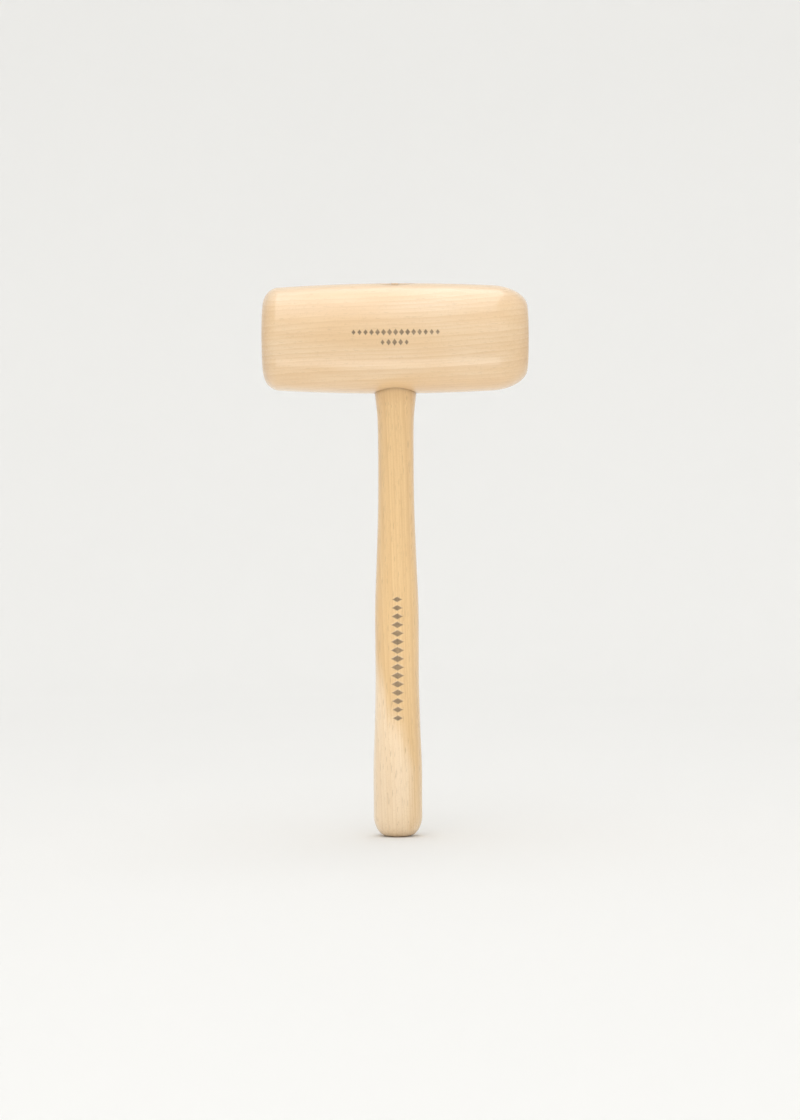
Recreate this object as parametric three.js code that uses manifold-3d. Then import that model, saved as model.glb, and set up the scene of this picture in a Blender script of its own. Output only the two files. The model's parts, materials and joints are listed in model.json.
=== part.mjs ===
// A round-headed wooden mallet: a barrel-turned head on a turned handle, locked by one wooden wedge.
//
// Millimetres, +Z up. The origin is the middle of the handle's butt, +Z runs up the handle and
// X runs along the head, from one striking face to the other.
//
// The handle's tenon goes right through the head. The socket in the head tapers from its mouth
// to a waist and then widens again along the grain, so the tenon, once its saw kerf is wedged
// open, is wider at the top than at the waist and cannot pull out.

import * as THREE from "three";
import { mergeVertices } from "three/addons/utils/BufferGeometryUtils.js";
import Module from "manifold-3d";

const wasm = await Module();
wasm.setup();

// ---- Driving dimensions -------------------------------------------------------------------

const HEAD_LENGTH = 152.4; // 6 in, between the striking faces
const HEAD_RADIUS = 31.75; // 2 1/2 in across, at the middle of the barrel
const HEAD_CROWN = 2.7; // how much the barrel's radius drops from its middle to its ends
const REACH = 255; // butt to the underside of the head: 10 in of free handle

// Each end of the head is turned to a quarter ellipse: its length along the head and across it.
const LEFT_ROUND = { along: 9, across: 10 };
const RIGHT_ROUND = { along: 20, across: 11 };

// Radius of the handle at heights above the butt, from where the butt's rounding ends.
const HANDLE_STATIONS = [
  { z: 22, radius: 14.0 }, // palm swell, the thickest place
  { z: 40, radius: 14.0 },
  { z: 62, radius: 13.2 },
  { z: 90, radius: 12.55 }, // waist of the grip
  { z: 130, radius: 12.6 },
  { z: 160, radius: 11.5 },
  { z: 190, radius: 10.5 }, // neck, the thinnest place
  { z: 225, radius: 10.3 },
  { z: 241, radius: 10.6 },
  { z: 250, radius: 11.45 }, // the tenon's flare, just under the head
];
const BUTT_ROUND = { along: 12, across: 8 };

const SOCKET_MOUTH_RADIUS = 12.1; // where the handle enters the head
const SOCKET_WAIST_RADIUS = 11.0; // at the head's axis
const SOCKET_TOP_SPREAD = 1.6; // how much the socket widens along X, each side, at the top

const WEDGE_LENGTH = 34;
const WEDGE_TOP_THICKNESS = 4.6;
const WEDGE_TIP_THICKNESS = 1.2;
const KERF_WIDTH = 1.8; // the saw cut that the wedge is driven into
const KERF_DEPTH = 44; // below the top of the head

const FIT_GAP = 0.3; // between the head, the tenon and the wedge

// ---- Places worked out from them ----------------------------------------------------------

const HALF_LENGTH = HEAD_LENGTH / 2;
const HEAD_CENTRE_Z = REACH + HEAD_RADIUS;
const BUTT_RADIUS = HANDLE_STATIONS[0].radius;
const OVERCUT = 6; // how far a cutting tool runs past the surface that it cuts

const HEAD_SEGMENTS = 56;
const HANDLE_SEGMENTS = 40;
const ROUND_STEPS = 7;
const CROWN_STEPS = 10;
const HANDLE_STEPS = 24;
const SOCKET_STEPS = 6; // in each half of the socket

// ---- Solids -------------------------------------------------------------------------------

/** A three.js geometry as a manifold solid, with the vertices that share a place merged. */
function solidOf(geometry) {
  const bare = new THREE.BufferGeometry();
  bare.setAttribute("position", geometry.getAttribute("position"));
  bare.setIndex(geometry.index);
  const merged = mergeVertices(bare, 1e-4);
  return new wasm.Manifold(
    new wasm.Mesh({
      numProp: 3,
      vertProperties: new Float32Array(merged.getAttribute("position").array),
      triVerts: new Uint32Array(merged.index.array),
    }),
  );
}

/** A manifold solid as a three.js geometry, flat shaded. */
function geometryOf(solid) {
  const mesh = solid.getMesh();
  const geometry = new THREE.BufferGeometry();
  geometry.setAttribute("position", new THREE.BufferAttribute(mesh.vertProperties, 3));
  geometry.setIndex(new THREE.BufferAttribute(mesh.triVerts, 1));
  const faceted = geometry.toNonIndexed();
  faceted.computeVertexNormals();
  return faceted;
}

/** A solid turned about Z. The profile is [radius, z] pairs, from the lower end to the upper. */
function turned(profile, segments) {
  const outline = profile.map(([radius, z]) => new THREE.Vector2(radius, z));
  return new THREE.LatheGeometry(outline, segments).rotateX(Math.PI / 2);
}

/** A flat outline of [x, z] pairs, carried along Y and centred on it. */
function prism(outline, depth) {
  const shape = new THREE.Shape(outline.map(([x, z]) => new THREE.Vector2(x, z)));
  const geometry = new THREE.ExtrudeGeometry(shape, { depth, bevelEnabled: false });
  return geometry.rotateX(Math.PI / 2).translate(0, depth / 2, 0);
}

/**
 * Points of a quarter ellipse from an end's flat to its side: [radius, distance from the end].
 * The side's radius is given at each distance from the end, so the two meet without a crease.
 */
function endRound({ along, across }, sideRadius) {
  const points = [];
  for (let i = 0; i <= ROUND_STEPS; i++) {
    const angle = (i / ROUND_STEPS) * (Math.PI / 2);
    const inset = along * (1 - Math.cos(angle));
    points.push([sideRadius(inset) - across * (1 - Math.sin(angle)), inset]);
  }
  return points;
}

// ---- Head ---------------------------------------------------------------------------------

/** Radius of the barrel at a distance x from the head's middle: a parabola. */
function barrelRadius(x) {
  return HEAD_RADIUS - HEAD_CROWN * (x / HALF_LENGTH) ** 2;
}

/** The barrel as one lathe profile, about the head's own centre, with its axis along X. */
function barrel() {
  const radiusFromEnd = (inset) => barrelRadius(HALF_LENGTH - inset);
  const leftEnd = endRound(LEFT_ROUND, radiusFromEnd);
  const rightEnd = endRound(RIGHT_ROUND, radiusFromEnd);
  const profile = [[0, -HALF_LENGTH]];
  for (const [radius, inset] of leftEnd) profile.push([radius, inset - HALF_LENGTH]);
  const crownStart = LEFT_ROUND.along - HALF_LENGTH;
  const crownEnd = HALF_LENGTH - RIGHT_ROUND.along;
  for (let i = 1; i < CROWN_STEPS; i++) {
    const x = THREE.MathUtils.lerp(crownStart, crownEnd, i / CROWN_STEPS);
    profile.push([barrelRadius(x), x]);
  }
  for (const [radius, inset] of rightEnd.reverse()) profile.push([radius, HALF_LENGTH - inset]);
  profile.push([0, HALF_LENGTH]);
  return turned(profile, HEAD_SEGMENTS).rotateY(Math.PI / 2);
}

/** Half-widths of the socket at a height z above the head's axis: x along the grain, y across. */
function socketHalfWidths(z) {
  const rise = z / HEAD_RADIUS; // -1 at the mouth, 0 at the waist, 1 at the top
  const mouth = SOCKET_MOUTH_RADIUS - SOCKET_WAIST_RADIUS;
  const round = SOCKET_WAIST_RADIUS + mouth * Math.max(0, -rise);
  return { x: round + SOCKET_TOP_SPREAD * Math.max(0, rise), y: round };
}

/** The socket's shape, smaller all round by a gap, from a lower to an upper height. */
function socketShape(gap, low, high) {
  const profile = [[0, low]];
  const steps = 2 * SOCKET_STEPS;
  for (let i = 0; i <= steps; i++) profile.push([1, THREE.MathUtils.lerp(low, high, i / steps)]);
  profile.push([0, high]);
  const geometry = turned(profile, HANDLE_SEGMENTS);
  const places = geometry.getAttribute("position");
  for (let i = 0; i < places.count; i++) {
    const widths = socketHalfWidths(places.getZ(i));
    places.setX(i, places.getX(i) * (widths.x - gap));
    places.setY(i, places.getY(i) * (widths.y - gap));
  }
  return geometry;
}

const TOOL_REACH = HEAD_RADIUS + OVERCUT;

function headGeometry() {
  const socket = solidOf(socketShape(0, -TOOL_REACH, TOOL_REACH));
  return geometryOf(solidOf(barrel()).subtract(socket));
}

// ---- Handle and wedge, both about the head's centre where they meet it --------------------

/** What lies above the barrel's upper side, to trim the tenon and the wedge flush with it. */
function aboveBarrel() {
  const side = 4 * SOCKET_MOUTH_RADIUS;
  const block = new THREE.BoxGeometry(side, side, 2 * TOOL_REACH);
  block.translate(0, 0, TOOL_REACH);
  return solidOf(block).subtract(solidOf(barrel()));
}

/** Half of the wedge's thickness at a height z above the head's axis. */
function wedgeHalfThickness(z) {
  const up = (z - (HEAD_RADIUS - WEDGE_LENGTH)) / WEDGE_LENGTH;
  return THREE.MathUtils.lerp(WEDGE_TIP_THICKNESS, WEDGE_TOP_THICKNESS, up) / 2;
}

const WEDGE_TIP_Z = HEAD_RADIUS - WEDGE_LENGTH;

/** The kerf once the wedge has opened it: a V round the wedge, and the saw cut below its tip. */
function kerf() {
  const vTop = wedgeHalfThickness(TOOL_REACH) + FIT_GAP;
  const vFoot = wedgeHalfThickness(WEDGE_TIP_Z) + FIT_GAP;
  const vFootZ = WEDGE_TIP_Z - FIT_GAP;
  const cut = KERF_WIDTH / 2;
  const bottom = HEAD_RADIUS - KERF_DEPTH;
  const outline = [
    [-cut, bottom],
    [cut, bottom],
    [cut, vFootZ],
    [vFoot, vFootZ],
    [vTop, TOOL_REACH],
    [-vTop, TOOL_REACH],
    [-vFoot, vFootZ],
    [-cut, vFootZ],
  ];
  return prism(outline, 4 * SOCKET_MOUTH_RADIUS);
}

/** The handle's turned outline, [radius, z], from its butt to the foot of the tenon. */
function handleProfile() {
  const profile = [[0, 0], ...endRound(BUTT_ROUND, () => BUTT_RADIUS)];
  const stations = HANDLE_STATIONS.map(({ z, radius }) => new THREE.Vector2(radius, z));
  stations.push(new THREE.Vector2(SOCKET_MOUTH_RADIUS - FIT_GAP, REACH));
  const curve = new THREE.SplineCurve(stations);
  for (const point of curve.getPoints(HANDLE_STEPS)) profile.push([point.x, point.y]);
  return profile;
}

function handleGeometry() {
  const shaft = turned([...handleProfile(), [0, REACH]], HANDLE_SEGMENTS);
  const tenon = socketShape(FIT_GAP, -HEAD_RADIUS, TOOL_REACH);
  const handle = solidOf(tenon)
    .add(solidOf(shaft.translate(0, 0, -HEAD_CENTRE_Z)))
    .subtract(solidOf(kerf()))
    .subtract(aboveBarrel());
  return geometryOf(handle).translate(0, 0, HEAD_CENTRE_Z);
}

function wedgeGeometry() {
  const top = wedgeHalfThickness(TOOL_REACH);
  const tip = wedgeHalfThickness(WEDGE_TIP_Z);
  const outline = [
    [-tip, WEDGE_TIP_Z],
    [tip, WEDGE_TIP_Z],
    [top, TOOL_REACH],
    [-top, TOOL_REACH],
  ];
  const taper = solidOf(prism(outline, 4 * SOCKET_MOUTH_RADIUS));
  const inside = solidOf(socketShape(FIT_GAP, -TOOL_REACH, TOOL_REACH + OVERCUT));
  return geometryOf(taper.intersect(inside).subtract(aboveBarrel()));
}

// ---- Materials ----------------------------------------------------------------------------

/** Sanded, lacquered wood of one colour. */
function wood(color, roughness) {
  return new THREE.MeshStandardMaterial({ color, roughness, metalness: 0 });
}

const headWood = wood("#ebcda5", 0.42);
const handleWood = wood("#e7c594", 0.4);
const wedgeWood = wood("#cba679", 0.6);

// ---- Assembly -----------------------------------------------------------------------------

function part(name, geometry, material, z = 0) {
  const mesh = new THREE.Mesh(geometry, material);
  mesh.name = name;
  mesh.position.z = z;
  return mesh;
}

const mallet = new THREE.Group();
mallet.name = "mallet";
mallet.add(
  part("handle", handleGeometry(), handleWood),
  part("head", headGeometry(), headWood, HEAD_CENTRE_Z),
  part("wedge", wedgeGeometry(), wedgeWood, HEAD_CENTRE_Z),
);

export default mallet;
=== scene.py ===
"""A barrel-headed wooden mallet: its turned head, its turned handle and the wedge that locks them.

Metres, +Z up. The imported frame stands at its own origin, the middle of the handle's butt, and
every piece here is worked out from the frame's boxes and mounts and from the sizes below.
"""

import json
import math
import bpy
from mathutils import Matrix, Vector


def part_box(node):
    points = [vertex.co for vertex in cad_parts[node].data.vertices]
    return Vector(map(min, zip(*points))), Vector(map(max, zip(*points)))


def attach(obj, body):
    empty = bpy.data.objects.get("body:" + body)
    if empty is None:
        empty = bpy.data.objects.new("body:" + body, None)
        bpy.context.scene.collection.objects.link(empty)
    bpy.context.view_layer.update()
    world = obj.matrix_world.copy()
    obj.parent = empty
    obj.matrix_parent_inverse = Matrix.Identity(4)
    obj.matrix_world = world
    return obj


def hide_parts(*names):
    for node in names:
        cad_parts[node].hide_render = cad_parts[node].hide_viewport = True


bl_info = {
    "name": "Wooden Mallet",
    "version": (1, 0, 0),
    "blender": (4, 5, 0),
    "location": "View3D > Sidebar > Mallet",
    "description": "Turns a barrel-headed wooden mallet round its packed frame, and lights it",
    "category": "Add Mesh",
}

from collections import namedtuple

import bmesh
import bpy
import numpy as np
from bpy.props import FloatProperty, FloatVectorProperty, PointerProperty
from mathutils import Vector

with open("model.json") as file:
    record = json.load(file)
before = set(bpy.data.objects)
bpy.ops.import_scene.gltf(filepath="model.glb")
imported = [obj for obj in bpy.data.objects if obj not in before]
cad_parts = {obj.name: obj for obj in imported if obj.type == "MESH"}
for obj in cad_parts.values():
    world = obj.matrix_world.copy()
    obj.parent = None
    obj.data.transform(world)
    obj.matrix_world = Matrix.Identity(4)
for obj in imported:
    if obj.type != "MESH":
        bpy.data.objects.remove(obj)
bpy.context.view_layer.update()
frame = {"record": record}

MM = 0.001  # metres in a millimetre

HEAD_LOW, HEAD_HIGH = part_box("head")
MOUNT_PLACES = {mount["name"]: mount["pos_m"] for mount in frame["record"]["mounts"]}
HEAD_AXIS_Z = MOUNT_PLACES["strike_face_right"][2]
REACH = HEAD_AXIS_Z - (HEAD_HIGH.y - HEAD_LOW.y) / 2  # butt to the underside of the head
BODY = "root"  # the frame's one body: nothing on a mallet moves


# ---- Sizes and colours that a user may change ---------------------------------------------


def length(name, description, default):
    """A property that holds a length in metres."""
    return FloatProperty(
        name=name, description=description, default=default, unit="LENGTH", precision=5
    )


def colour(name, description, default):
    """A property that holds a linear colour."""
    return FloatVectorProperty(
        name=name,
        description=description,
        default=default,
        size=3,
        subtype="COLOR",
        min=0.0,
        max=1.0,
    )


class HeadSizes(bpy.types.PropertyGroup):
    """The barrel that does the striking, along X."""

    span: length("Length", "Between the striking faces", HEAD_HIGH.x - HEAD_LOW.x)
    radius: length("Radius", "Of the barrel at its middle", (HEAD_HIGH.y - HEAD_LOW.y) / 2)
    crown: length("Crown", "How much the radius drops from the middle to each end", 2.7 * MM)
    left_along: length("Left round, along", "Length of the left end's rounding", 9 * MM)
    left_across: length("Left round, across", "Depth of the left end's rounding", 10 * MM)
    right_along: length("Right round, along", "Length of the right end's rounding", 20 * MM)
    right_across: length("Right round, across", "Depth of the right end's rounding", 11 * MM)
    stamp_depth: length("Stamp depth", "How deep the ornament is pressed in", 0.22 * MM)


class HandleSizes(bpy.types.PropertyGroup):
    """The turned shaft, along Z, from its butt to the underside of the head."""

    heights: FloatVectorProperty(
        name="Heights",
        description="Heights above the butt where the radius is set",
        size=10,
        unit="LENGTH",
        default=[z * MM for z in (22, 40, 62, 90, 130, 160, 190, 225, 241, 250)],
    )
    radii: FloatVectorProperty(
        name="Radii",
        description="Radii at those heights: swell, grip, neck and flare",
        size=10,
        unit="LENGTH",
        default=[
            r * MM for r in (14, 14, 13.2, 12.55, 12.6, 11.5, 10.5, 10.3, 10.6, 11.45)
        ],
    )
    butt_along: length("Butt round, along", "Length of the butt's rounding", 12 * MM)
    butt_across: length("Butt round, across", "Depth of the butt's rounding", 8 * MM)
    stamp_depth: length("Stamp depth", "How deep the ornament is pressed in", 0.2 * MM)


class JointSizes(bpy.types.PropertyGroup):
    """Where the tenon goes through the head, and the wedge that spreads it."""

    mouth: length("Mouth radius", "Of the socket, where the handle enters", 12.1 * MM)
    waist: length("Waist radius", "Of the socket, at the head's axis", 11.0 * MM)
    spread: length("Top spread", "How much the socket widens along the head", 1.6 * MM)
    ease: length("Eased edge", "Radius of the socket's two edges", 0.25 * MM)
    wedge_length: length("Wedge length", "From its tip to the top of the head", 34 * MM)
    wedge_top: length("Wedge top", "Thickness at the top of the head", 4.6 * MM)
    wedge_tip: length("Wedge tip", "Thickness at the tip", 1.2 * MM)
    kerf_width: length("Kerf width", "Of the saw cut in the tenon", 1.8 * MM)
    kerf_depth: length("Kerf depth", "Of the saw cut, from the top of the head", 44 * MM)
    gap: length("Glue line", "Between the head, the tenon and the wedge", 0.08 * MM)


class WoodColours(bpy.types.PropertyGroup):
    """The woods and the ink of the pressed ornament."""

    head_pale: colour("Head, pale", "Wood laid down in spring", (0.86, 0.655, 0.43))
    head_dark: colour("Head, dark", "Wood laid down in summer", (0.70, 0.455, 0.24))
    head_warm: colour("Head, warm", "Tan stain that drifts through", (0.80, 0.53, 0.268))
    # handle_pale and handle_warm also carry painted light: the handle's pale lower left stands
    # partly for light, its tan right strip partly for shade.
    handle_pale: colour("Handle, pale", "Sapwood", (0.95, 0.735, 0.49))
    handle_dark: colour("Handle, dark", "Summer wood", (0.66, 0.40, 0.17))
    handle_warm: colour("Handle, warm", "Heartwood", (0.82, 0.55, 0.258))
    wedge_pale: colour("Wedge, pale", "Spring wood of the wedge", (0.70, 0.475, 0.26))
    wedge_dark: colour("Wedge, dark", "Summer wood of the wedge", (0.50, 0.295, 0.13))
    ink: colour("Ink", "Brown of the pressed ornament", (0.125, 0.078, 0.032))


class StudioSettings(bpy.types.PropertyGroup):
    """The camera, the lamps and the pale bowl that is floor and backdrop in one."""

    distance: length("Camera distance", "From the mallet's axis", 1.525)
    aim_height: length("Camera height", "Of the level camera above the floor", 159 * MM)
    aside: length("Aside", "How far the camera stands to the right of the mallet", 2.0 * MM)
    lens: FloatProperty(
        name="Lens",
        description="Focal length in millimetres",
        default=85.0,
        min=10.0,
        unit="CAMERA",
    )
    roll: FloatProperty(
        name="Roll",
        description="Turn of the camera about its own axis",
        default=math.radians(0.35),
        subtype="ANGLE",
    )
    overhead_power: FloatProperty(
        name="Overhead", description="Long soft lamp above the mallet", default=7.2, unit="POWER"
    )
    front_power: FloatProperty(
        name="Front", description="Wide soft lamp above the camera", default=2.75, unit="POWER"
    )
    under_power: FloatProperty(
        name="Under", description="Small lamp at the mallet's foot", default=0.085, unit="POWER"
    )
    sky: FloatProperty(
        name="Room light", description="Strength of the even light all round", default=0.97
    )
    glow: FloatProperty(
        name="Wall glow", description="How much light the bowl's wall gives off", default=0.085
    )
    backdrop: colour("Backdrop", "Pale floor and wall", (0.84, 0.838, 0.828))


# ---- Surfaces worked out on grids ---------------------------------------------------------


def spaced(start, *stretches):
    """Places from start on, in stretches of (end, largest step) that meet exactly."""
    places = [np.array([start])]
    for end, step in stretches:
        begin = places[-1][-1]
        count = max(1, math.ceil(abs(end - begin) / step - 1e-9))
        places.append(np.linspace(begin, end, count + 1)[1:])
    return np.concatenate(places)


def smoothstep(low, high, value):
    """0 below low, 1 above high, and 3t^2 - 2t^3 between them."""
    t = np.clip((value - low) / (high - low), 0.0, 1.0)
    return t * t * (3.0 - 2.0 * t)


class Skin:
    """A surface made of grids of points, welded where their borders meet."""

    WELD = 2e-6  # metres: far less than any step of a grid
    CREASE = math.radians(38)  # a sharper edge than this is shaded as an edge

    def __init__(self):
        self.points = []
        self.quads = []
        self.marks = {"stamp": [], "seam": []}
        self.count = 0

    def grid(self, x, y, z, keep=None, **marks):
        """Adds a sheet of quads over points laid out in rows and columns.

        keep says which of its quads to keep. The marks are numbers from 0 to 1 at the points:
        stamp inside the pressed ornament, seam beside a joint.
        """
        x, y, z = np.broadcast_arrays(x, y, z)
        rows, columns = x.shape
        index = self.count + np.arange(rows * columns).reshape(rows, columns)
        corners = (index[:-1, :-1], index[1:, :-1], index[1:, 1:], index[:-1, 1:])
        quads = np.stack(corners, axis=-1)
        self.quads.append(quads.reshape(-1, 4) if keep is None else quads[keep])
        self.points.append(np.stack((x, y, z), axis=-1).reshape(-1, 3))
        for name, values in self.marks.items():
            values.append(np.broadcast_to(marks.get(name, 0.0), x.shape).ravel())
        self.count += rows * columns

    def mesh(self, name, grain, closed=True):
        """Welds the sheets into one mesh whose faces point outwards.

        A piece that should be closed and isn't raises an error. The mark called end_grain
        rises from 0 where the grain lies in the surface to 1 where it runs straight into it:
        it is the size of the part of the normal along the grain.
        """
        points = np.concatenate(self.points)
        data = bpy.data.meshes.new(name)
        data.from_pydata(points.tolist(), [], np.concatenate(self.quads).tolist())
        for mark, values in self.marks.items():
            layer = data.attributes.new(mark, "FLOAT", "POINT")
            layer.data.foreach_set("value", np.concatenate(values).astype(np.float32))

        form = bmesh.new()
        form.from_mesh(data)
        bmesh.ops.remove_doubles(form, verts=form.verts, dist=self.WELD)
        loose = [vertex for vertex in form.verts if not vertex.link_faces]
        bmesh.ops.delete(form, geom=loose, context="VERTS")
        bmesh.ops.recalc_face_normals(form, faces=form.faces)
        open_edges = sum(not edge.is_manifold for edge in form.edges)
        form.to_mesh(data)
        form.free()
        if closed and open_edges:
            raise RuntimeError(f"{name} has {open_edges} open edges")

        data.polygons.foreach_set("use_smooth", np.ones(len(data.polygons), bool))
        data.set_sharp_from_angle(angle=self.CREASE)
        normals = np.empty(3 * len(data.vertices), np.float32)
        data.vertex_normals.foreach_get("vector", normals)
        into_grain = np.abs(normals.reshape(-1, 3) @ np.array(grain, np.float32))
        layer = data.attributes.new("end_grain", "FLOAT", "POINT")
        layer.data.foreach_set("value", into_grain.astype(np.float32))
        data.update()
        return data


def place_piece(context, data, node, material):
    """Puts a finished mesh in the scene for one node of the frame."""
    piece = bpy.data.objects.new(data.name, data)
    context.scene.collection.objects.link(piece)
    data.materials.append(material)
    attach(piece, BODY)
    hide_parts(node)


# ---- Ornament -----------------------------------------------------------------------------

# A row of lozenges: its middle, how many there are, their pitch, and half their length along
# the row and half their width across it, in metres.
LozengeRow = namedtuple("LozengeRow", "along across count pitch half_length half_width")

HEAD_ROWS = (
    LozengeRow(0.3 * MM, 1.0 * MM, 15, 3.4 * MM, 1.65 * MM, 2.2 * MM),
    LozengeRow(-0.3 * MM, -4.7 * MM, 5, 3.4 * MM, 1.65 * MM, 2.2 * MM),
)
HANDLE_ROW = LozengeRow(102.5 * MM, 0.25 * MM, 15, 4.85 * MM, 2.3 * MM, 4.3 * MM)


STAMP_SLOPE = 0.28  # share of a lozenge's size that its sloping sides take up


def lozenges(along, across, row):
    """How far inside a row of lozenges a point is: 0 outside, 1 well inside.

    The nearest lozenge is the one whose number is the distance along the row over the pitch,
    rounded. A point is inside where |u| / half length + |v| / half width is under 1, u and v
    being measured from the lozenge's middle. The lozenges shrink by a fifth towards the ends
    of the row, as a cosine.
    """
    last = (row.count - 1) / 2
    number = (along - row.along) / row.pitch
    nearest = np.clip(np.round(number - last) + last, -last, last)
    size = 0.8 + 0.2 * np.cos(nearest / last * math.pi / 2)
    u = np.abs(number - nearest) * row.pitch / row.half_length
    v = np.abs(across - row.across) / row.half_width
    return smoothstep(0.0, STAMP_SLOPE, size - u - v)


# ---- Head ---------------------------------------------------------------------------------

WINDOW = 18 * MM  # half the side of the square round the socket that its own sheet fills
FINE = 0.3 * MM  # step of a grid where the ornament is
COARSE = 1.6 * MM  # step of a grid elsewhere
ROUND_STEPS = 26  # grid rows over the rounding of an end
FACE_STEPS = 14  # grid rows across the flat of an end
INWARD_ROWS = 15  # grid rows from the window's border to the socket's edge
EASED_ROWS = 6  # grid rows over the socket's edge
WALL_ROWS = 26  # grid rows down the socket's wall
STAMP_LEAN = 0.24  # radians from the front that the ornament's fine grid spans
HEAD_SEAM = 0.7 * MM  # distance from the joint over which its dark line fades on the head


def barrel_radius(head, x):
    """Radius of the barrel: a parabola that drops by the crown from the middle to an end."""
    return head.radius - head.crown * (x / (head.span / 2)) ** 2


def barrel_height(head, x, y):
    """How high the barrel's surface stands over its axis: its circle at x, taken at y."""
    return np.sqrt(barrel_radius(head, x) ** 2 - y**2)


def rounded_end(head, along, across):
    """x and radius from the pole of an end to its side, for the end at +X.

    A flat disc, then a quarter ellipse that is taken off the barrel's own radius, so the two
    meet without a crease.
    """
    turn = np.linspace(0.0, math.pi / 2, ROUND_STEPS + 1)
    x = head.span / 2 - along * (1.0 - np.cos(turn))
    radius = barrel_radius(head, x) - across * (1.0 - np.sin(turn))
    flat = np.linspace(0.0, radius[0], FACE_STEPS, endpoint=False)
    return np.append(np.full(FACE_STEPS, x[0]), x), np.append(flat, radius)


def socket_widths(head, joint, z):
    """Half-widths of the socket along X and along Y, at a height z above the head's axis.

    It tapers evenly from its mouth to its waist, and then widens along X only.
    """
    rise = z / head.radius
    across = joint.waist + (joint.mouth - joint.waist) * np.maximum(0.0, -rise)
    return across + joint.spread * np.maximum(0.0, rise), across


def socket_reach(head, joint, bearing, z):
    """Distance from the socket's axis to its wall, on a bearing: the radius of an ellipse."""
    wide_x, wide_y = socket_widths(head, joint, z)
    return 1.0 / np.hypot(np.cos(bearing) / wide_x, np.sin(bearing) / wide_y)


def socket_side(head, joint, bearing, border, side):
    """Rows of distance, height and closeness to the joint, from the window's border inwards.

    The barrel's surface runs straight in to the socket's edge, with rows that close up towards
    it, and a quarter circle eases the edge over into the wall. The edge lies on the barrel, so
    its distance and its height are found by repeated substitution. side is 1 on top of the head
    and -1 under it. Closeness to the joint dies away from the edge as an exponential.
    """
    edge = socket_reach(head, joint, bearing, side * head.radius) + joint.ease
    for _ in range(5):
        z = side * barrel_height(head, edge * np.cos(bearing), edge * np.sin(bearing))
        edge = socket_reach(head, joint, bearing, z) + joint.ease
    inwards = 1.0 - (1.0 - np.linspace(0.0, 1.0, INWARD_ROWS)[:, None]) ** 1.6
    flat = border + (edge - border) * inwards
    height = side * barrel_height(head, flat * np.cos(bearing), flat * np.sin(bearing))
    turn = np.linspace(0.0, math.pi / 2, EASED_ROWS)[1:, None]
    eased = edge - joint.ease * np.sin(turn)
    drop = height[-1] - side * joint.ease * (1.0 - np.cos(turn))
    seam = np.exp(-(flat - edge) / HEAD_SEAM)
    rows = np.vstack((flat, eased)), np.vstack((height, drop))
    return *rows, np.vstack((seam, np.ones_like(eased)))


def head_skin(head, joint):
    """The barrel on a grid of x and angle, with a window cut over and under the socket.

    A second sheet fills both windows: its columns are bearings round the socket's axis, and
    its rows run from the upper window's border over the edge, down the wall, and out again.
    """
    half = head.span / 2
    left_x, left_radius = rounded_end(head, head.left_along, head.left_across)
    right_x, right_radius = rounded_end(head, head.right_along, head.right_across)
    fine_half = HEAD_ROWS[0].count / 2 * HEAD_ROWS[0].pitch + MM
    crown_x = spaced(
        head.left_along - half,
        (-fine_half, COARSE),
        (-WINDOW, FINE),
        (WINDOW, FINE),
        (fine_half, FINE),
        (half - head.right_along, COARSE),
    )
    x = np.concatenate((-left_x, crown_x[1:-1], right_x[::-1]))
    radius = np.concatenate(
        (left_radius, barrel_radius(head, crown_x[1:-1]), right_radius[::-1])
    )

    lean = math.asin(WINDOW / head.radius)  # of the window's sides from the vertical
    quarter = math.pi / 2
    step = COARSE / head.radius
    angle = spaced(
        quarter - lean,
        (quarter + lean, step),
        (math.pi - STAMP_LEAN, step),
        (math.pi + STAMP_LEAN, FINE / head.radius),
        (3 * quarter - lean, step),
        (3 * quarter + lean, step),
        (5 * quarter - lean, step),
    )
    x_grid, angle_grid = x[:, None], angle[None, :]
    height = radius[:, None] * np.sin(angle_grid)
    pressed = sum(lozenges(x_grid, height, row) for row in HEAD_ROWS)
    pressed = pressed * (np.cos(angle_grid) < 0.0) * (np.abs(x_grid) < fine_half)
    depth = radius[:, None] - head.stamp_depth * pressed

    middle_x = np.abs(x[1:] + x[:-1])[:, None] / 2
    middle_angle = ((angle[1:] + angle[:-1]) / 2)[None, :]
    over = np.abs(middle_angle - quarter) < lean
    under = np.abs(middle_angle - 3 * quarter) < lean
    skin = Skin()
    skin.grid(
        x_grid,
        depth * np.cos(angle_grid),
        HEAD_AXIS_Z + depth * np.sin(angle_grid),
        keep=~((middle_x < WINDOW) & (over | under)),
        stamp=pressed,
    )

    across = x[np.abs(x) < WINDOW + 1e-9]
    leans = angle[angle < quarter + lean + 1e-9] - quarter
    sides = len(leans) - 1
    border_x = np.concatenate(
        (across[:-1], np.full(sides, WINDOW), across[:0:-1], np.full(sides, -WINDOW))
    )
    border_lean = np.concatenate(
        (
            np.full(len(across) - 1, -lean),
            leans[:-1],
            np.full(len(across) - 1, lean),
            leans[:0:-1],
        )
    )
    border_x = np.append(border_x, border_x[0])
    border_lean = np.append(border_lean, border_lean[0])
    border_y = -barrel_radius(head, border_x) * np.sin(border_lean)
    bearing = np.arctan2(border_y, border_x)
    border = np.hypot(border_x, border_y)
    top, top_z, top_seam = socket_side(head, joint, bearing, border, 1)
    foot, foot_z, foot_seam = socket_side(head, joint, bearing, border, -1)
    down = np.linspace(0.0, 1.0, WALL_ROWS)[1:-1, None]
    wall_z = top_z[-1] + (foot_z[-1] - top_z[-1]) * down
    wall = socket_reach(head, joint, bearing, wall_z)
    out = np.vstack((top, wall, foot[::-1]))
    skin.grid(
        out * np.cos(bearing),
        out * np.sin(bearing),
        HEAD_AXIS_Z + np.vstack((top_z, wall_z, foot_z[::-1])),
        seam=np.vstack((top_seam, np.ones_like(wall), foot_seam[::-1])),
    )
    return skin


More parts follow.
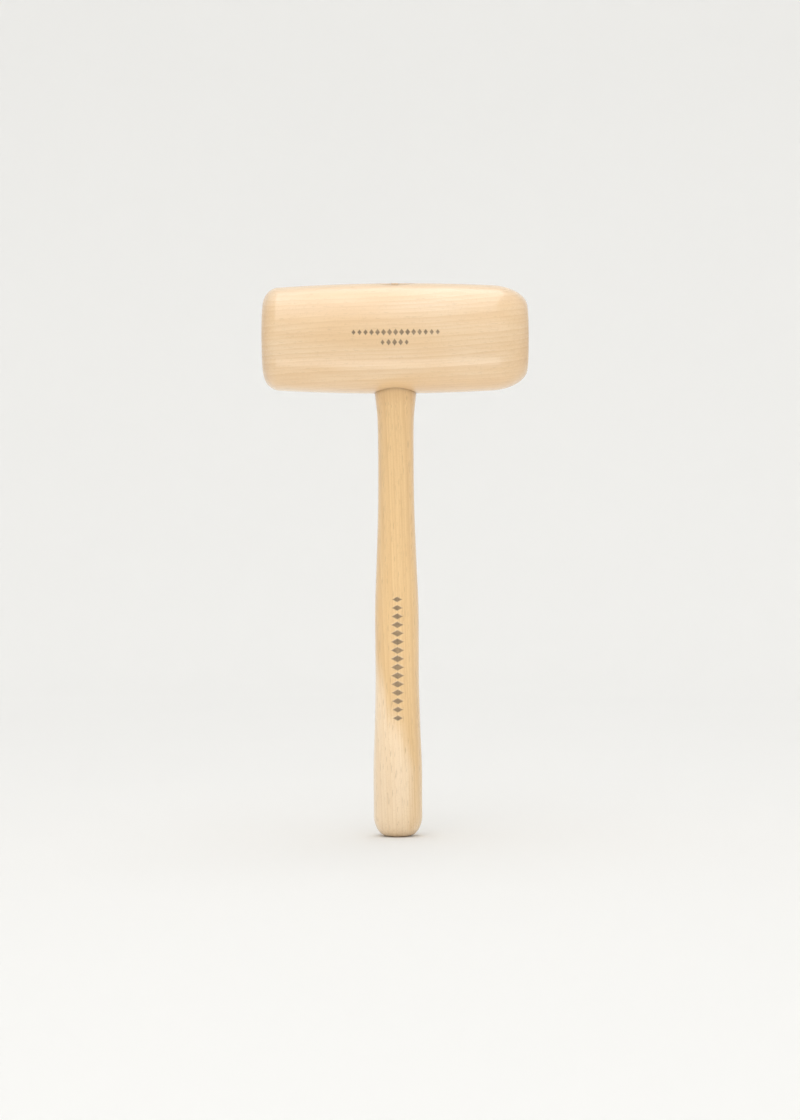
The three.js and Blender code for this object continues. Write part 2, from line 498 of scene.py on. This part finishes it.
# ---- Handle -------------------------------------------------------------------------------

KERF_COLUMNS = 6  # grid columns across the saw cut
BUTT_STEPS = 8  # grid rows across the flat of the butt
TENON_ROWS = 30  # grid rows up the cut part of the tenon
LID_ROWS = 14  # grid rows across the top of each half of the tenon
SHAFT_SEAM = 0.8 * MM  # distance from the joint over which its dark line fades on the shaft
LID_SEAM = 0.5 * MM  # the same on the sanded top of the tenon
STAMP_REACH = 6 * MM  # half the width round the front that the ornament's fine grid spans
SHAFT_STEP = 1.2 * MM  # step of a grid along the plain shaft
RING_STEP = 1.1 * MM  # step of a grid round the plain shaft


def spline(places, values, steps=24):
    """A Catmull-Rom curve through points: each stretch is a cubic whose slope at a point is
    half the chord between that point's two neighbours."""
    points = np.stack((places, values), axis=1)
    before = np.vstack((points[:1], points[:-2]))
    start, end = points[:-1], points[1:]
    after = np.vstack((points[2:], points[-1:]))
    t = np.linspace(0.0, 1.0, steps, endpoint=False)[None, :, None]
    slope_in = (end - before)[:, None] / 2
    slope_out = (after - start)[:, None] / 2
    start, end = start[:, None], end[:, None]
    curve = (
        (2 * t**3 - 3 * t**2 + 1) * start
        + (t**3 - 2 * t**2 + t) * slope_in
        + (3 * t**2 - 2 * t**3) * end
        + (t**3 - t**2) * slope_out
    )
    return np.vstack((curve.reshape(-1, 2), points[-1:]))


def shaft_radius(handle, joint, z):
    """Radius of the turned shaft at a height above the butt."""
    heights = np.append(handle.heights, REACH)
    radii = np.append(handle.radii, joint.mouth - joint.gap)
    curve = spline(heights, radii)
    return np.interp(z, curve[:, 0], curve[:, 1])


def tenon_widths(head, joint, z):
    """Half-widths of the tenon at a height above the butt: the socket's, less the glue line."""
    wide_x, wide_y = socket_widths(head, joint, z - HEAD_AXIS_Z)
    return wide_x - joint.gap, wide_y - joint.gap


def wedge_half(head, joint, z):
    """Half the wedge's thickness at a height above the butt: an even taper."""
    tip = HEAD_AXIS_Z + head.radius - joint.wedge_length
    up = (z - tip) / joint.wedge_length
    return (joint.wedge_tip + (joint.wedge_top - joint.wedge_tip) * up) / 2


def kerf_half(head, joint, z):
    """Half the kerf's width: the saw cut's, or more where the wedge has opened it."""
    return np.maximum(joint.kerf_width / 2, wedge_half(head, joint, z) + joint.gap)


def flush_top(head, x, y):
    """Height above the butt of a point that was sanded flush with the top of the barrel."""
    return HEAD_AXIS_Z + barrel_height(head, x, y)


def settle(head, place):
    """The height where a rising line meets the barrel's top, found by repeated substitution.

    place gives the line's x and y at a height.
    """
    z = HEAD_AXIS_Z + head.radius
    for _ in range(6):
        x, y = place(z)
        z = flush_top(head, x, y)
    return z


def handle_skin(head, handle, joint):
    """The shaft on a grid of height and angle, and the tenon's two halves on top of it.

    Up to the foot of the saw cut every section is a closed ring. Above it each half of the
    tenon has an outer sheet, a flat wall on the kerf and a lid flush with the barrel.
    """
    foot = HEAD_AXIS_Z + head.radius - joint.kerf_depth
    foot_x, foot_y = tenon_widths(head, joint, foot)
    kerf_angle = math.acos(joint.kerf_width / 2 / foot_x)
    swell, grip = handle.radii[0], handle.radii[3]
    fine_end = STAMP_REACH / grip - math.pi / 2  # the angle where the ornament's fine grid ends
    half_ring = spaced(-kerf_angle, (fine_end, FINE / grip), (kerf_angle, RING_STEP / swell))
    share = (half_ring + kerf_angle) / (2 * kerf_angle)  # 0 at the front wall, 1 at the back
    cut = np.linspace(1.0, -1.0, KERF_COLUMNS + 1) * joint.kerf_width / 2
    back_gap = np.arccos(cut / foot_x)[1:-1]
    ring = np.concatenate(
        (half_ring, back_gap, math.pi - half_ring[::-1], 2 * math.pi - back_gap[::-1])
    )
    ring = np.append(ring, ring[0] + 2 * math.pi)

    turn = np.linspace(0.0, math.pi / 2, ROUND_STEPS + 1)
    round_radius = swell - handle.butt_across * (1.0 - np.sin(turn))
    flat = np.linspace(0.0, round_radius[0], BUTT_STEPS, endpoint=False)
    row_low = HANDLE_ROW.along - HANDLE_ROW.count / 2 * HANDLE_ROW.pitch
    row_high = HANDLE_ROW.along + HANDLE_ROW.count / 2 * HANDLE_ROW.pitch
    shaft_z = spaced(
        handle.butt_along,
        (row_low, SHAFT_STEP),
        (row_high, FINE),
        (REACH - 8 * MM, SHAFT_STEP),
        (REACH, 0.5 * MM),
    )[1:]
    tenon_z = spaced(REACH, (foot, MM))[1:]
    z = np.concatenate(
        (np.zeros(BUTT_STEPS), handle.butt_along * (1.0 - np.cos(turn)), shaft_z, tenon_z)
    )
    tenon_x, tenon_y = tenon_widths(head, joint, tenon_z)
    turned = np.concatenate((flat, round_radius, shaft_radius(handle, joint, shaft_z)))
    wide_x = np.append(turned, tenon_x)[:, None]
    wide_y = np.append(turned, tenon_y)[:, None]

    height = np.broadcast_to(z[:, None], (len(z), len(ring)))
    side = wide_x * np.cos(ring)
    pressed = lozenges(height, side, HANDLE_ROW) * (np.sin(ring) < 0.0)
    pressed = pressed * ((height > row_low) & (height < row_high))
    depth = handle.stamp_depth * pressed
    entry = HEAD_AXIS_Z - barrel_height(head, side, wide_y * np.sin(ring))
    skin = Skin()
    skin.grid(
        (wide_x - depth) * np.cos(ring),
        (wide_y - depth) * np.sin(ring),
        height,
        stamp=pressed,
        seam=np.exp(-np.maximum(0.0, entry - height) / SHAFT_SEAM),
    )

    columns = 2.0 * share[None, :] - 1.0

    def outer(z):
        wide_x, wide_y = tenon_widths(head, joint, z)
        angle = np.arccos(kerf_half(head, joint, z) / wide_x) * columns
        return wide_x * np.cos(angle), wide_y * np.sin(angle)

    def wall(z):
        return kerf_half(head, joint, z), outer(z)[1]

    up = np.linspace(0.0, 1.0, TENON_ROWS)[:, None]
    outer_z = foot + (settle(head, outer) - foot) * up
    outer_x, outer_y = outer(outer_z)
    wall_z = foot + (settle(head, wall) - foot) * up
    wall_x, wall_y = wall(wall_z)
    inwards = np.linspace(0.0, 1.0, LID_ROWS)[:, None]
    lid_x = outer_x[-1] + (wall_x[-1] - outer_x[-1]) * inwards
    lid_y = outer_y[-1] + (wall_y[-1] - outer_y[-1]) * inwards
    near = np.minimum(lid_x - wall_x[-1], outer_x[-1] - lid_x)
    for mirror in (1.0, -1.0):
        skin.grid(mirror * outer_x, outer_y, outer_z, seam=1.0)
        skin.grid(mirror * wall_x, wall_y, wall_z, seam=1.0)
        skin.grid(
            mirror * lid_x,
            lid_y,
            flush_top(head, lid_x, lid_y),
            seam=np.exp(-near / LID_SEAM),
        )
    floor_y = foot_y * np.sqrt(1.0 - (cut[:, None] / foot_x) ** 2)
    floor_share = np.sin(kerf_angle * columns) / math.sin(kerf_angle)
    skin.grid(cut[:, None], floor_y * floor_share, foot, seam=1.0)
    return skin


# ---- Wedge --------------------------------------------------------------------------------

# Points of its grid through its thickness, along its width and up its length.
WEDGE_THROUGH = 13
WEDGE_ALONG = 37
WEDGE_UP = 41


def wedge_skin(head, joint):
    """A tapered block inside the tenon's outline, as the six sides of a bent cube.

    p runs across its thickness, q along its width and up from the tip to the top. The mark
    called seam is 1 on its sides, and rises steeply towards the rims of its top and its tip.
    """
    tip = HEAD_AXIS_Z + head.radius - joint.wedge_length

    def block(p, q, up):
        def place(z):
            wide_x, wide_y = tenon_widths(head, joint, z)
            x = p * wedge_half(head, joint, z)
            return x, q * wide_y * np.sqrt(1.0 - (x / wide_x) ** 2)

        z = tip + (settle(head, place) - tip) * up
        return *place(z), z

    across = np.linspace(-1.0, 1.0, WEDGE_THROUGH)
    along = np.linspace(-1.0, 1.0, WEDGE_ALONG)
    rising = np.linspace(0.0, 1.0, WEDGE_UP)
    skin = Skin()
    for end in (-1.0, 1.0):
        skin.grid(*block(end, along[:, None], rising[None, :]), seam=1.0)
        skin.grid(*block(across[:, None], end, rising[None, :]), seam=1.0)
    for up in (0.0, 1.0):
        edge = np.maximum(np.abs(across[:, None]) ** 6, np.abs(along[None, :]) ** 30)
        skin.grid(*block(across[:, None], along[None, :], up), seam=edge)
    return skin


# ---- Materials ----------------------------------------------------------------------------


class Field:
    """A number that varies over a surface. Arithmetic on it adds Math nodes."""

    def __init__(self, tree, socket):
        self.tree = tree
        self.socket = socket

    def math(self, operation, *operands):
        """The result of a Math node on fields and numbers."""
        node = self.tree.nodes.new("ShaderNodeMath")
        node.operation = operation
        for slot, operand in zip(node.inputs, operands):
            if isinstance(operand, Field):
                self.tree.links.new(operand.socket, slot)
            else:
                slot.default_value = operand
        return Field(self.tree, node.outputs[0])

    def __add__(self, other):
        return self.math("ADD", self, other)

    def __radd__(self, other):
        return self.math("ADD", other, self)

    def __sub__(self, other):
        return self.math("SUBTRACT", self, other)

    def __rsub__(self, other):
        return self.math("SUBTRACT", other, self)

    def __mul__(self, other):
        return self.math("MULTIPLY", self, other)

    def __rmul__(self, other):
        return self.math("MULTIPLY", other, self)

    def __truediv__(self, other):
        return self.math("DIVIDE", self, other)

    def __pow__(self, other):
        return self.math("POWER", self, other)

    def least(self, other):
        return self.math("MINIMUM", self, other)

    def ramp(self, low, high):
        """0 at low, 1 at high, smooth between them; low may be the larger."""
        node = self.tree.nodes.new("ShaderNodeMapRange")
        node.interpolation_type = "SMOOTHSTEP"
        limits = (low, high, 0.0, 1.0) if low < high else (high, low, 1.0, 0.0)
        for slot, value in zip(node.inputs[1:5], limits):
            slot.default_value = value
        self.tree.links.new(self.socket, node.inputs[0])
        return Field(self.tree, node.outputs[0])


class Finish:
    """A material under construction, with one method that adds any node to it."""

    def __init__(self, name):
        self.material = bpy.data.materials.new(name)
        self.material.use_nodes = True
        self.tree = self.material.node_tree
        self.tree.nodes.clear()

    def node(self, kind, settings=None, values=None, output=None):
        """One output of a new node, its first unless another is named.

        The node's settings are made before its sockets get their values or links.
        """
        node = self.tree.nodes.new("ShaderNode" + kind)
        for name, value in (settings or {}).items():
            setattr(node, name, value)
        for name, value in (values or {}).items():
            slot = self.socket(node.inputs, name)
            if isinstance(value, Field):
                self.tree.links.new(value.socket, slot)
            else:
                slot.default_value = value
        found = node.outputs[0] if output is None else self.socket(node.outputs, output)
        return Field(self.tree, found)

    @staticmethod
    def socket(sockets, name):
        """The socket with this identifier or name."""
        return next(s for s in sockets if name in (s.identifier, s.name))

    def noise(self, point, detail=1.0, roughness=0.5):
        """Cloudy noise about 0, mostly between -0.25 and 0.25, one unit to a cloud."""
        values = {"Vector": point, "Scale": 1.0, "Detail": detail, "Roughness": roughness}
        return self.node("TexNoise", None, values) - 0.5

    def mix(self, share, first, second):
        """A colour that goes from the first to the second as share goes from 0 to 1."""
        sides = {}
        for name, side in (("A_Color", first), ("B_Color", second)):
            sides[name] = side if isinstance(side, Field) else (*side, 1.0)
        settings = {"data_type": "RGBA", "clamp_factor": True}
        return self.node("Mix", settings, {"Factor_Float": share, **sides}, "Result_Color")

    def attribute(self, name):
        """A mark that the piece's mesh holds at its points."""
        return self.node("Attribute", {"attribute_name": name}, None, "Fac")

    def end_grain(self):
        """0 where the surface runs along the grain, 1 where it cuts straight across."""
        return self.attribute("end_grain").ramp(0.35, 1.0)

    def shader(self, values):
        """Ends the material in one shader with these values, and returns the material."""
        shader = self.node("BsdfPrincipled", None, values)
        output = self.tree.nodes.new("ShaderNodeOutputMaterial")
        self.tree.links.new(shader.socket, output.inputs["Surface"])
        return self.material


def darker(colour, share):
    """A share of a colour's brightness."""
    return [part * share for part in colour]


# How a piece lies in its log, in metres: where the pith runs past it, how much the pith leans
# away per metre along the grain, how far the grain wanders, the width of a year's ring, and a
# shift along the grain that gives each piece its own figure.
Log = namedtuple("Log", "pith lean wander ring shift")

HEAD_LOG = Log((58 * MM, -34 * MM), (0.030, -0.045), 9 * MM, 2.6 * MM, 0.37)
HANDLE_LOG = Log((-41 * MM, 26 * MM), (0.035, 0.022), 7 * MM, 2.2 * MM, 1.93)
WEDGE_LOG = Log((30 * MM, 12 * MM), (0.05, 0.0), 3 * MM, 1.1 * MM, 4.2)


class Figure:
    """The figure of a piece of wood, as fields: its years, fibres, pores and rays.

    Years are counted by the distance from the pith over the width of a ring. The pith wanders,
    rings are uneven in width, and their edges are frayed along the grain. season goes from 0
    to 1 through each year, and year_tone is a number from 0 to 1 that each year has for itself.
    """

    def __init__(self, finish, axes, log):
        """axes names the object's axes that lie across, up and along the grain, in this order."""
        point = finish.node("TexCoord", None, None, "Object")
        self.finish = finish
        self.across, self.up, self.along = (
            finish.node("SeparateXYZ", None, {"Vector": point}, name) for name in axes
        )
        self.along = self.along + log.shift
        swing = self.noise(52 * MM, 190 * MM, detail=0.0) * log.wander
        sway = self.noise(40 * MM, 120 * MM, detail=0.0, shift=7.0) * log.wander
        from_pith = self.across - log.pith[0] + self.along * log.lean[0] + swing
        over_pith = self.up - log.pith[1] + self.along * log.lean[1] + sway
        self.radius = (from_pith * from_pith + over_pith * over_pith) ** 0.5
        self.angle = over_pith.math("ARCTAN2", over_pith, from_pith)
        uneven = finish.node(
            "TexNoise",
            {"noise_dimensions": "1D"},
            {"W": self.radius / (4 * log.ring), "Scale": 1.0, "Detail": 1.0},
        )
        frayed = self.noise(1.1 * MM, 26 * MM, detail=2.0)
        years = self.radius / log.ring + uneven * 2.2 + frayed * 0.16
        self.season = years.math("FRACT", years)
        self.year_tone = finish.node(
            "TexWhiteNoise", {"noise_dimensions": "1D"}, {"W": years.math("FLOOR", years)}
        )

    def stretched(self, wide, long, shift=0.0):
        """The point, in cells that measure wide across the grain and long along it."""
        values = {"X": self.across / wide + shift, "Y": self.up / wide, "Z": self.along / long}
        return self.finish.node("CombineXYZ", None, values)

    def noise(self, wide, long, detail=1.0, shift=0.0):
        """Noise about 0 in such cells. Each shift gives a noise of its own."""
        return self.finish.noise(self.stretched(wide, long, shift), detail)

    def summer(self):
        """The darker wood at the end of each year: it builds up slowly and stops short."""
        return (self.season**2.4) * self.season.ramp(1.0, 0.94)

    def pores(self, wide, long, size):
        """Vessels: the middles of stretched cells, out to a size in cells: 1 in them, 0 outside."""
        distance = self.finish.node(
            "TexVoronoi", {"feature": "F1"}, {"Vector": self.stretched(wide, long), "Scale": 1.0}
        )
        return distance.ramp(size, 0.45 * size)

    def rays(self, wide, long, tall):
        """Rays: flakes in planes through the pith, as wide as asked for 60 mm away from it."""
        values = {
            "X": self.angle * (60 * MM / wide),
            "Y": self.radius / tall,
            "Z": self.along / long,
        }
        place = self.finish.node("CombineXYZ", None, values)
        return self.finish.noise(place, detail=0.0).ramp(0.12, 0.24)

    def turning_marks(self, wide):
        """Fine rings that the turning tool leaves: noise that changes only along the piece."""
        values = {"W": self.along / wide, "Scale": 1.0, "Detail": 2.0}
        return self.finish.node("TexNoise", {"noise_dimensions": "1D"}, values)

    def pressed_ink(self):
        """Where the ornament's ink lies. It is worn in small specks."""
        worn = 0.86 + self.noise(2.2 * MM, 5 * MM, detail=2.0, shift=17.0) * 0.5
        return self.finish.attribute("stamp") * worn


FULL_COAT = 1.0  # weight of the lacquer on the head and the handle
THIN_COAT = 0.12  # weight of the lacquer that the wedge's end grain has soaked up


def lacquered(finish, colour, roughness, height, coat):
    """A satin lacquer over coloured wood, with relief from a height in metres."""
    relief = {"Strength": 1.0, "Distance": 1.0, "Height": height}
    values = {
        "Base Color": colour,
        "Roughness": roughness,
        "Normal": finish.node("Bump", None, relief, "Normal"),
        "Coat Weight": coat,
        "Coat Roughness": 0.2,
        "Coat IOR": 1.6,
        "IOR": 1.45,
    }
    return finish.shader(values)


def head_wood(colours):
    """Pale close-grained hardwood along X, sanded and lacquered.

    Its colour is built up in layers: a tan drift, the years, fibres and end grain, rays, pores,
    the dark line at the joint, and the ink of the ornament.
    """
    finish = Finish("head_wood")
    wood = Figure(finish, "YZX", HEAD_LOG)
    end = finish.end_grain()
    summer = wood.summer()
    fibres = wood.noise(0.32 * MM, 16 * MM, detail=2.0)
    strands = wood.noise(1.6 * MM, 70 * MM, detail=2.0, shift=3.0)
    drift = wood.noise(24 * MM, 95 * MM, detail=2.0, shift=11.0)
    pores = wood.pores(0.5 * MM, 7 * MM, 0.30) * wood.season.ramp(0.55, 0.15)
    rays = wood.rays(0.3 * MM, 0.9 * MM, 1.5 * MM)

    to_right = wood.along - HEAD_LOG.shift
    tan = (drift + to_right * 0.5).ramp(-0.24, 0.22)
    tint = finish.mix(tan * 0.85, colours.head_pale, colours.head_warm)
    shade = summer * 0.40 + wood.year_tone * 0.18 + fibres * 0.5 + strands * 0.6
    tint = finish.mix(shade + end * 0.62, tint, colours.head_dark)
    tint = finish.mix(rays * 0.10, tint, darker(colours.head_dark, 0.78))
    tint = finish.mix(pores * (0.30 + end * 0.3), tint, darker(colours.head_dark, 0.5))
    seam = finish.attribute("seam")
    tint = finish.mix(seam * 0.5, tint, darker(colours.head_dark, 0.45))
    ink = wood.pressed_ink()
    tint = finish.mix(ink * 0.95, tint, colours.ink)

    height = summer * (0.02 * MM) - pores * (0.05 * MM) + fibres * (0.03 * MM)
    height = height + wood.turning_marks(0.35 * MM) * (0.006 * MM) + strands * (0.06 * MM)
    roughness = 0.40 + pores * 0.15 + end * 0.14 + fibres * 0.12 + ink * 0.15
    return lacquered(finish, tint, roughness, height, FULL_COAT)


def handle_wood(colours):
    """Straight-grained hickory along Z: tan heartwood, with paler sapwood towards the butt that is
    partly painted light.

    The sapwood starts at a slanting edge, 66 mm above the butt on the handle's axis and higher
    on the left, and leaves a strip of heartwood down the right side. Both are partly painted light:
    paler low down and to the left, and painted shade in the tan strip down the right side. The
    other layers are those of the head's wood, and a painted shadow below the head: the colour
    darkens over the last 9 mm under it.
    """
    finish = Finish("handle_wood")
    wood = Figure(finish, "XYZ", HANDLE_LOG)
    end = finish.end_grain()
    above_butt = wood.along - HANDLE_LOG.shift
    summer = wood.summer()
    fibres = wood.noise(0.30 * MM, 18 * MM, detail=2.0)
    strands = wood.noise(1.5 * MM, 80 * MM, detail=2.0, shift=3.0)
    drift = wood.noise(9 * MM, 80 * MM, detail=2.0, shift=11.0)
    pores = wood.pores(0.55 * MM, 8 * MM, 0.36) * wood.season.ramp(0.5, 0.12)
    rays = wood.rays(0.3 * MM, 0.8 * MM, 1.2 * MM)

    # Partly real sapwood, partly painted light: paler low down and to the left, with painted shade
    # as the tan strip down the right side.
    below_edge = ((66 * MM - above_butt) * 0.35).least(9.6 * MM)
    sapwood_and_painted_light = (below_edge - wood.across * 0.9 + drift * (14 * MM)).ramp(-5 * MM, 6 * MM)
    tint = finish.mix(sapwood_and_painted_light, colours.handle_warm, colours.handle_pale)
    shade = summer * 0.48 + wood.year_tone * 0.22 + fibres * 0.55 + strands * 0.7
    tint = finish.mix(shade * (1.0 - sapwood_and_painted_light * 0.55) + end * 0.3, tint, colours.handle_dark)
    tint = finish.mix(rays * 0.10, tint, darker(colours.handle_dark, 0.8))
    # Painted shadow: the handle darkens over the last 9 mm below the head, standing in for the
    # head's shade.
    painted_shadow_under_head = above_butt.ramp(REACH - 9 * MM, REACH)
    tint = finish.mix(painted_shadow_under_head * 0.35, tint, colours.handle_dark)
    tint = finish.mix(pores * (0.42 + end * 0.3), tint, darker(colours.handle_dark, 0.5))
    seam = finish.attribute("seam")
    tint = finish.mix(seam * 0.5, tint, darker(colours.handle_dark, 0.4))
    ink = wood.pressed_ink()
    tint = finish.mix(ink * 0.92, tint, colours.ink)

    height = summer * (0.025 * MM) - pores * (0.07 * MM) + fibres * (0.03 * MM)
    height = height + wood.turning_marks(0.3 * MM) * (0.005 * MM) + strands * (0.05 * MM)
    roughness = 0.38 + pores * 0.18 + end * 0.15 + fibres * 0.12 + ink * 0.15
    return lacquered(finish, tint, roughness, height, FULL_COAT)


def wedge_wood(colours):
    """A darker hardwood, sanded flush so that its end grain shows."""
    finish = Finish("wedge_wood")
    wood = Figure(finish, "XYZ", WEDGE_LOG)
    fibres = wood.noise(0.3 * MM, 14 * MM, detail=2.0)
    pores = wood.pores(0.45 * MM, 6 * MM, 0.34)
    shade = wood.summer() * 0.6 + wood.year_tone * 0.25 + fibres * 0.7 + 0.15
    tint = finish.mix(shade, colours.wedge_pale, colours.wedge_dark)
    tint = finish.mix(pores * 0.5, tint, darker(colours.wedge_dark, 0.45))
    seam = finish.attribute("seam")
    tint = finish.mix(seam * 0.6, tint, darker(colours.wedge_dark, 0.35))
    height = fibres * (0.03 * MM) - pores * (0.06 * MM)
    roughness = 0.52 + pores * 0.2 + fibres * 0.15
    return lacquered(finish, tint, roughness, height, THIN_COAT)


# ---- Stage --------------------------------------------------------------------------------

# The bowl, in metres: its radius, the radius of the curve from its floor up to its wall, and
# the wall's height.
BOWL_RADIUS = 2.5
BOWL_BEND = 0.9
BOWL_HEIGHT = 3.0
BOWL_SIDES = 96
GLOW_REACH = (0.1 * BOWL_RADIUS, 0.8 * BOWL_RADIUS)  # its glow rises between these radii

# Where each lamp hangs, and its two sides, in metres.
LAMPS = {
    "overhead_lamp": ((-0.04, -0.2, 1.55), (0.7, 2.4)),
    "front_lamp": ((0.25, -1.75, 1.0), (2.0, 0.9)),
    "under_lamp": ((0.0, -0.135, 0.003), (0.3, 0.18)),
}
UNDER_SPREAD = math.radians(100)  # of the low lamp's beam, which keeps it off the floor


def paper(studio):
    """Matt pale paper: a faint mottle, and a glow that rises outwards from the bowl's middle."""
    finish = Finish("backdrop_paper")
    point = finish.node("TexCoord", None, None, "Object")
    mottle = finish.node("TexNoise", None, {"Vector": point, "Scale": 3.0, "Detail": 3.0})
    x, y = (finish.node("SeparateXYZ", None, {"Vector": point}, name) for name in "XY")
    outwards = ((x * x + y * y) ** 0.5).ramp(*GLOW_REACH)
    values = {
        "Base Color": finish.mix(mottle, studio.backdrop, darker(studio.backdrop, 0.985)),
        "Roughness": 0.9,
        "Emission Color": finish.mix(outwards, (0.0, 0.0, 0.0), (1.0, 0.996, 0.985)),
        "Emission Strength": studio.glow,
    }
    return finish.shader(values)


def set_out_bowl(scene, studio):
    """Floor and wall in one: a line out from the middle, a quarter circle and a line up, turned
    once round the mallet's axis."""
    bend = np.linspace(0.0, math.pi / 2, 25)
    floor = np.linspace(0.0, BOWL_RADIUS - BOWL_BEND, 9)[:-1]
    bent_radius = BOWL_RADIUS - BOWL_BEND * (1.0 - np.sin(bend))
    bent_height = BOWL_BEND * (1.0 - np.cos(bend))
    radius = np.concatenate((floor, bent_radius, [BOWL_RADIUS]))
    height = np.concatenate((np.zeros(len(floor)), bent_height, [BOWL_HEIGHT]))
    angle = np.linspace(0.0, 2.0 * math.pi, BOWL_SIDES + 1)[:, None]
    bowl = Skin()
    bowl.grid(radius * np.cos(angle), radius * np.sin(angle), height)
    data = bowl.mesh("bowl", grain=(0, 0, 1), closed=False)
    data.materials.append(paper(studio))
    holder = bpy.data.objects.new("bowl", data)
    scene.collection.objects.link(holder)


def hang_lamp(scene, name, power, spread=math.pi):
    """A rectangular area lamp that faces the handle, half way up to the head's axis."""
    place, sides = LAMPS[name]
    lamp = bpy.data.lights.new(name, "AREA")
    lamp.energy = power
    lamp.shape = "RECTANGLE"
    lamp.size, lamp.size_y = sides
    lamp.spread = spread
    holder = bpy.data.objects.new(name, lamp)
    scene.collection.objects.link(holder)
    holder.location = place
    towards = Vector((0.0, 0.0, HEAD_AXIS_Z / 2)) - holder.location
    holder.rotation_euler = towards.to_track_quat("-Z", "Y").to_euler()
    holder.visible_camera = False


def light_room(scene, strength):
    """Even light from all round, which comes in over the bowl's rim."""
    world = bpy.data.worlds.new("room")
    world.use_nodes = True
    sky = world.node_tree.nodes["Background"]
    sky.inputs["Color"].default_value = (1.0, 0.995, 0.98, 1.0)
    sky.inputs["Strength"].default_value = strength
    scene.world = world


def aim_camera(scene, studio):
    """A camera in front of the mallet that looks level along +Y, and is rolled a little."""
    camera = bpy.data.cameras.new("camera")
    camera.lens = studio.lens
    camera.sensor_width = 36.0
    holder = bpy.data.objects.new("camera", camera)
    scene.collection.objects.link(holder)
    holder.location = (studio.aside, -studio.distance, studio.aim_height)
    holder.rotation_euler = (math.pi / 2, studio.roll, 0.0)
    scene.camera = holder


# ---- Operators and panel ------------------------------------------------------------------


class MALLET_OT_turn_head(bpy.types.Operator):
    """Turn the barrel head, with its socket and its pressed ornament"""

    bl_idname = "mallet.turn_head"
    bl_label = "Turn Head"

    def execute(self, context):
        scene = context.scene
        skin = head_skin(scene.mallet_head, scene.mallet_joint)
        data = skin.mesh("turned_head", grain=(1, 0, 0))
        place_piece(context, data, "head", head_wood(scene.mallet_colours))
        return {"FINISHED"}


class MALLET_OT_turn_handle(bpy.types.Operator):
    """Turn the handle, with its tenon and the saw cut in it"""

    bl_idname = "mallet.turn_handle"
    bl_label = "Turn Handle"

    def execute(self, context):
        scene = context.scene
        skin = handle_skin(scene.mallet_head, scene.mallet_handle, scene.mallet_joint)
        data = skin.mesh("turned_handle", grain=(0, 0, 1))
        material = handle_wood(scene.mallet_colours)
        place_piece(context, data, "handle", material)
        return {"FINISHED"}


class MALLET_OT_drive_wedge(bpy.types.Operator):
    """Drive the wedge into the tenon, flush with the top of the head"""

    bl_idname = "mallet.drive_wedge"
    bl_label = "Drive Wedge"

    def execute(self, context):
        scene = context.scene
        skin = wedge_skin(scene.mallet_head, scene.mallet_joint)
        data = skin.mesh("driven_wedge", grain=(0, 0, 1))
        place_piece(context, data, "wedge", wedge_wood(scene.mallet_colours))
        return {"FINISHED"}


class MALLET_OT_set_stage(bpy.types.Operator):
    """Set out the pale bowl, hang the lamps and aim the camera"""

    bl_idname = "mallet.set_stage"
    bl_label = "Set Stage"

    def execute(self, context):
        scene = context.scene
        studio = scene.mallet_studio
        set_out_bowl(scene, studio)
        hang_lamp(scene, "overhead_lamp", studio.overhead_power)
        hang_lamp(scene, "front_lamp", studio.front_power)
        hang_lamp(scene, "under_lamp", studio.under_power, UNDER_SPREAD)
        light_room(scene, studio.sky)
        aim_camera(scene, studio)
        scene.view_settings.view_transform = "Standard"
        return {"FINISHED"}


class MALLET_PT_build(bpy.types.Panel):
    """Lists the mallet's pieces and the settings that shape them"""

    bl_label = "Wooden Mallet"
    bl_idname = "MALLET_PT_build"
    bl_space_type = "VIEW_3D"
    bl_region_type = "UI"
    bl_category = "Mallet"

    def draw(self, context):
        layout = self.layout
        for step in STEPS:
            layout.operator(step.bl_idname)
        for name in GROUPS:
            group = getattr(context.scene, name)
            box = layout.box()
            box.label(text=group.bl_rna.name)
            for prop in group.bl_rna.properties:
                if prop.identifier not in ("name", "rna_type"):
                    box.prop(group, prop.identifier)


GROUPS = {
    "mallet_head": HeadSizes,
    "mallet_handle": HandleSizes,
    "mallet_joint": JointSizes,
    "mallet_colours": WoodColours,
    "mallet_studio": StudioSettings,
}
STEPS = (
    MALLET_OT_turn_head,
    MALLET_OT_turn_handle,
    MALLET_OT_drive_wedge,
    MALLET_OT_set_stage,
)


def register():
    for group in (*GROUPS.values(), *STEPS, MALLET_PT_build):
        bpy.utils.register_class(group)
    for name, group in GROUPS.items():
        setattr(bpy.types.Scene, name, PointerProperty(type=group))


def unregister():
    for name in GROUPS:
        delattr(bpy.types.Scene, name)
    for group in (MALLET_PT_build, *STEPS, *GROUPS.values()):
        bpy.utils.unregister_class(group)


def main():
    """Builds the mallet and its stage."""
    register()
    bpy.ops.mallet.turn_head()
    bpy.ops.mallet.turn_handle()
    bpy.ops.mallet.drive_wedge()
    bpy.ops.mallet.set_stage()


if __name__ == "__main__":
    main()
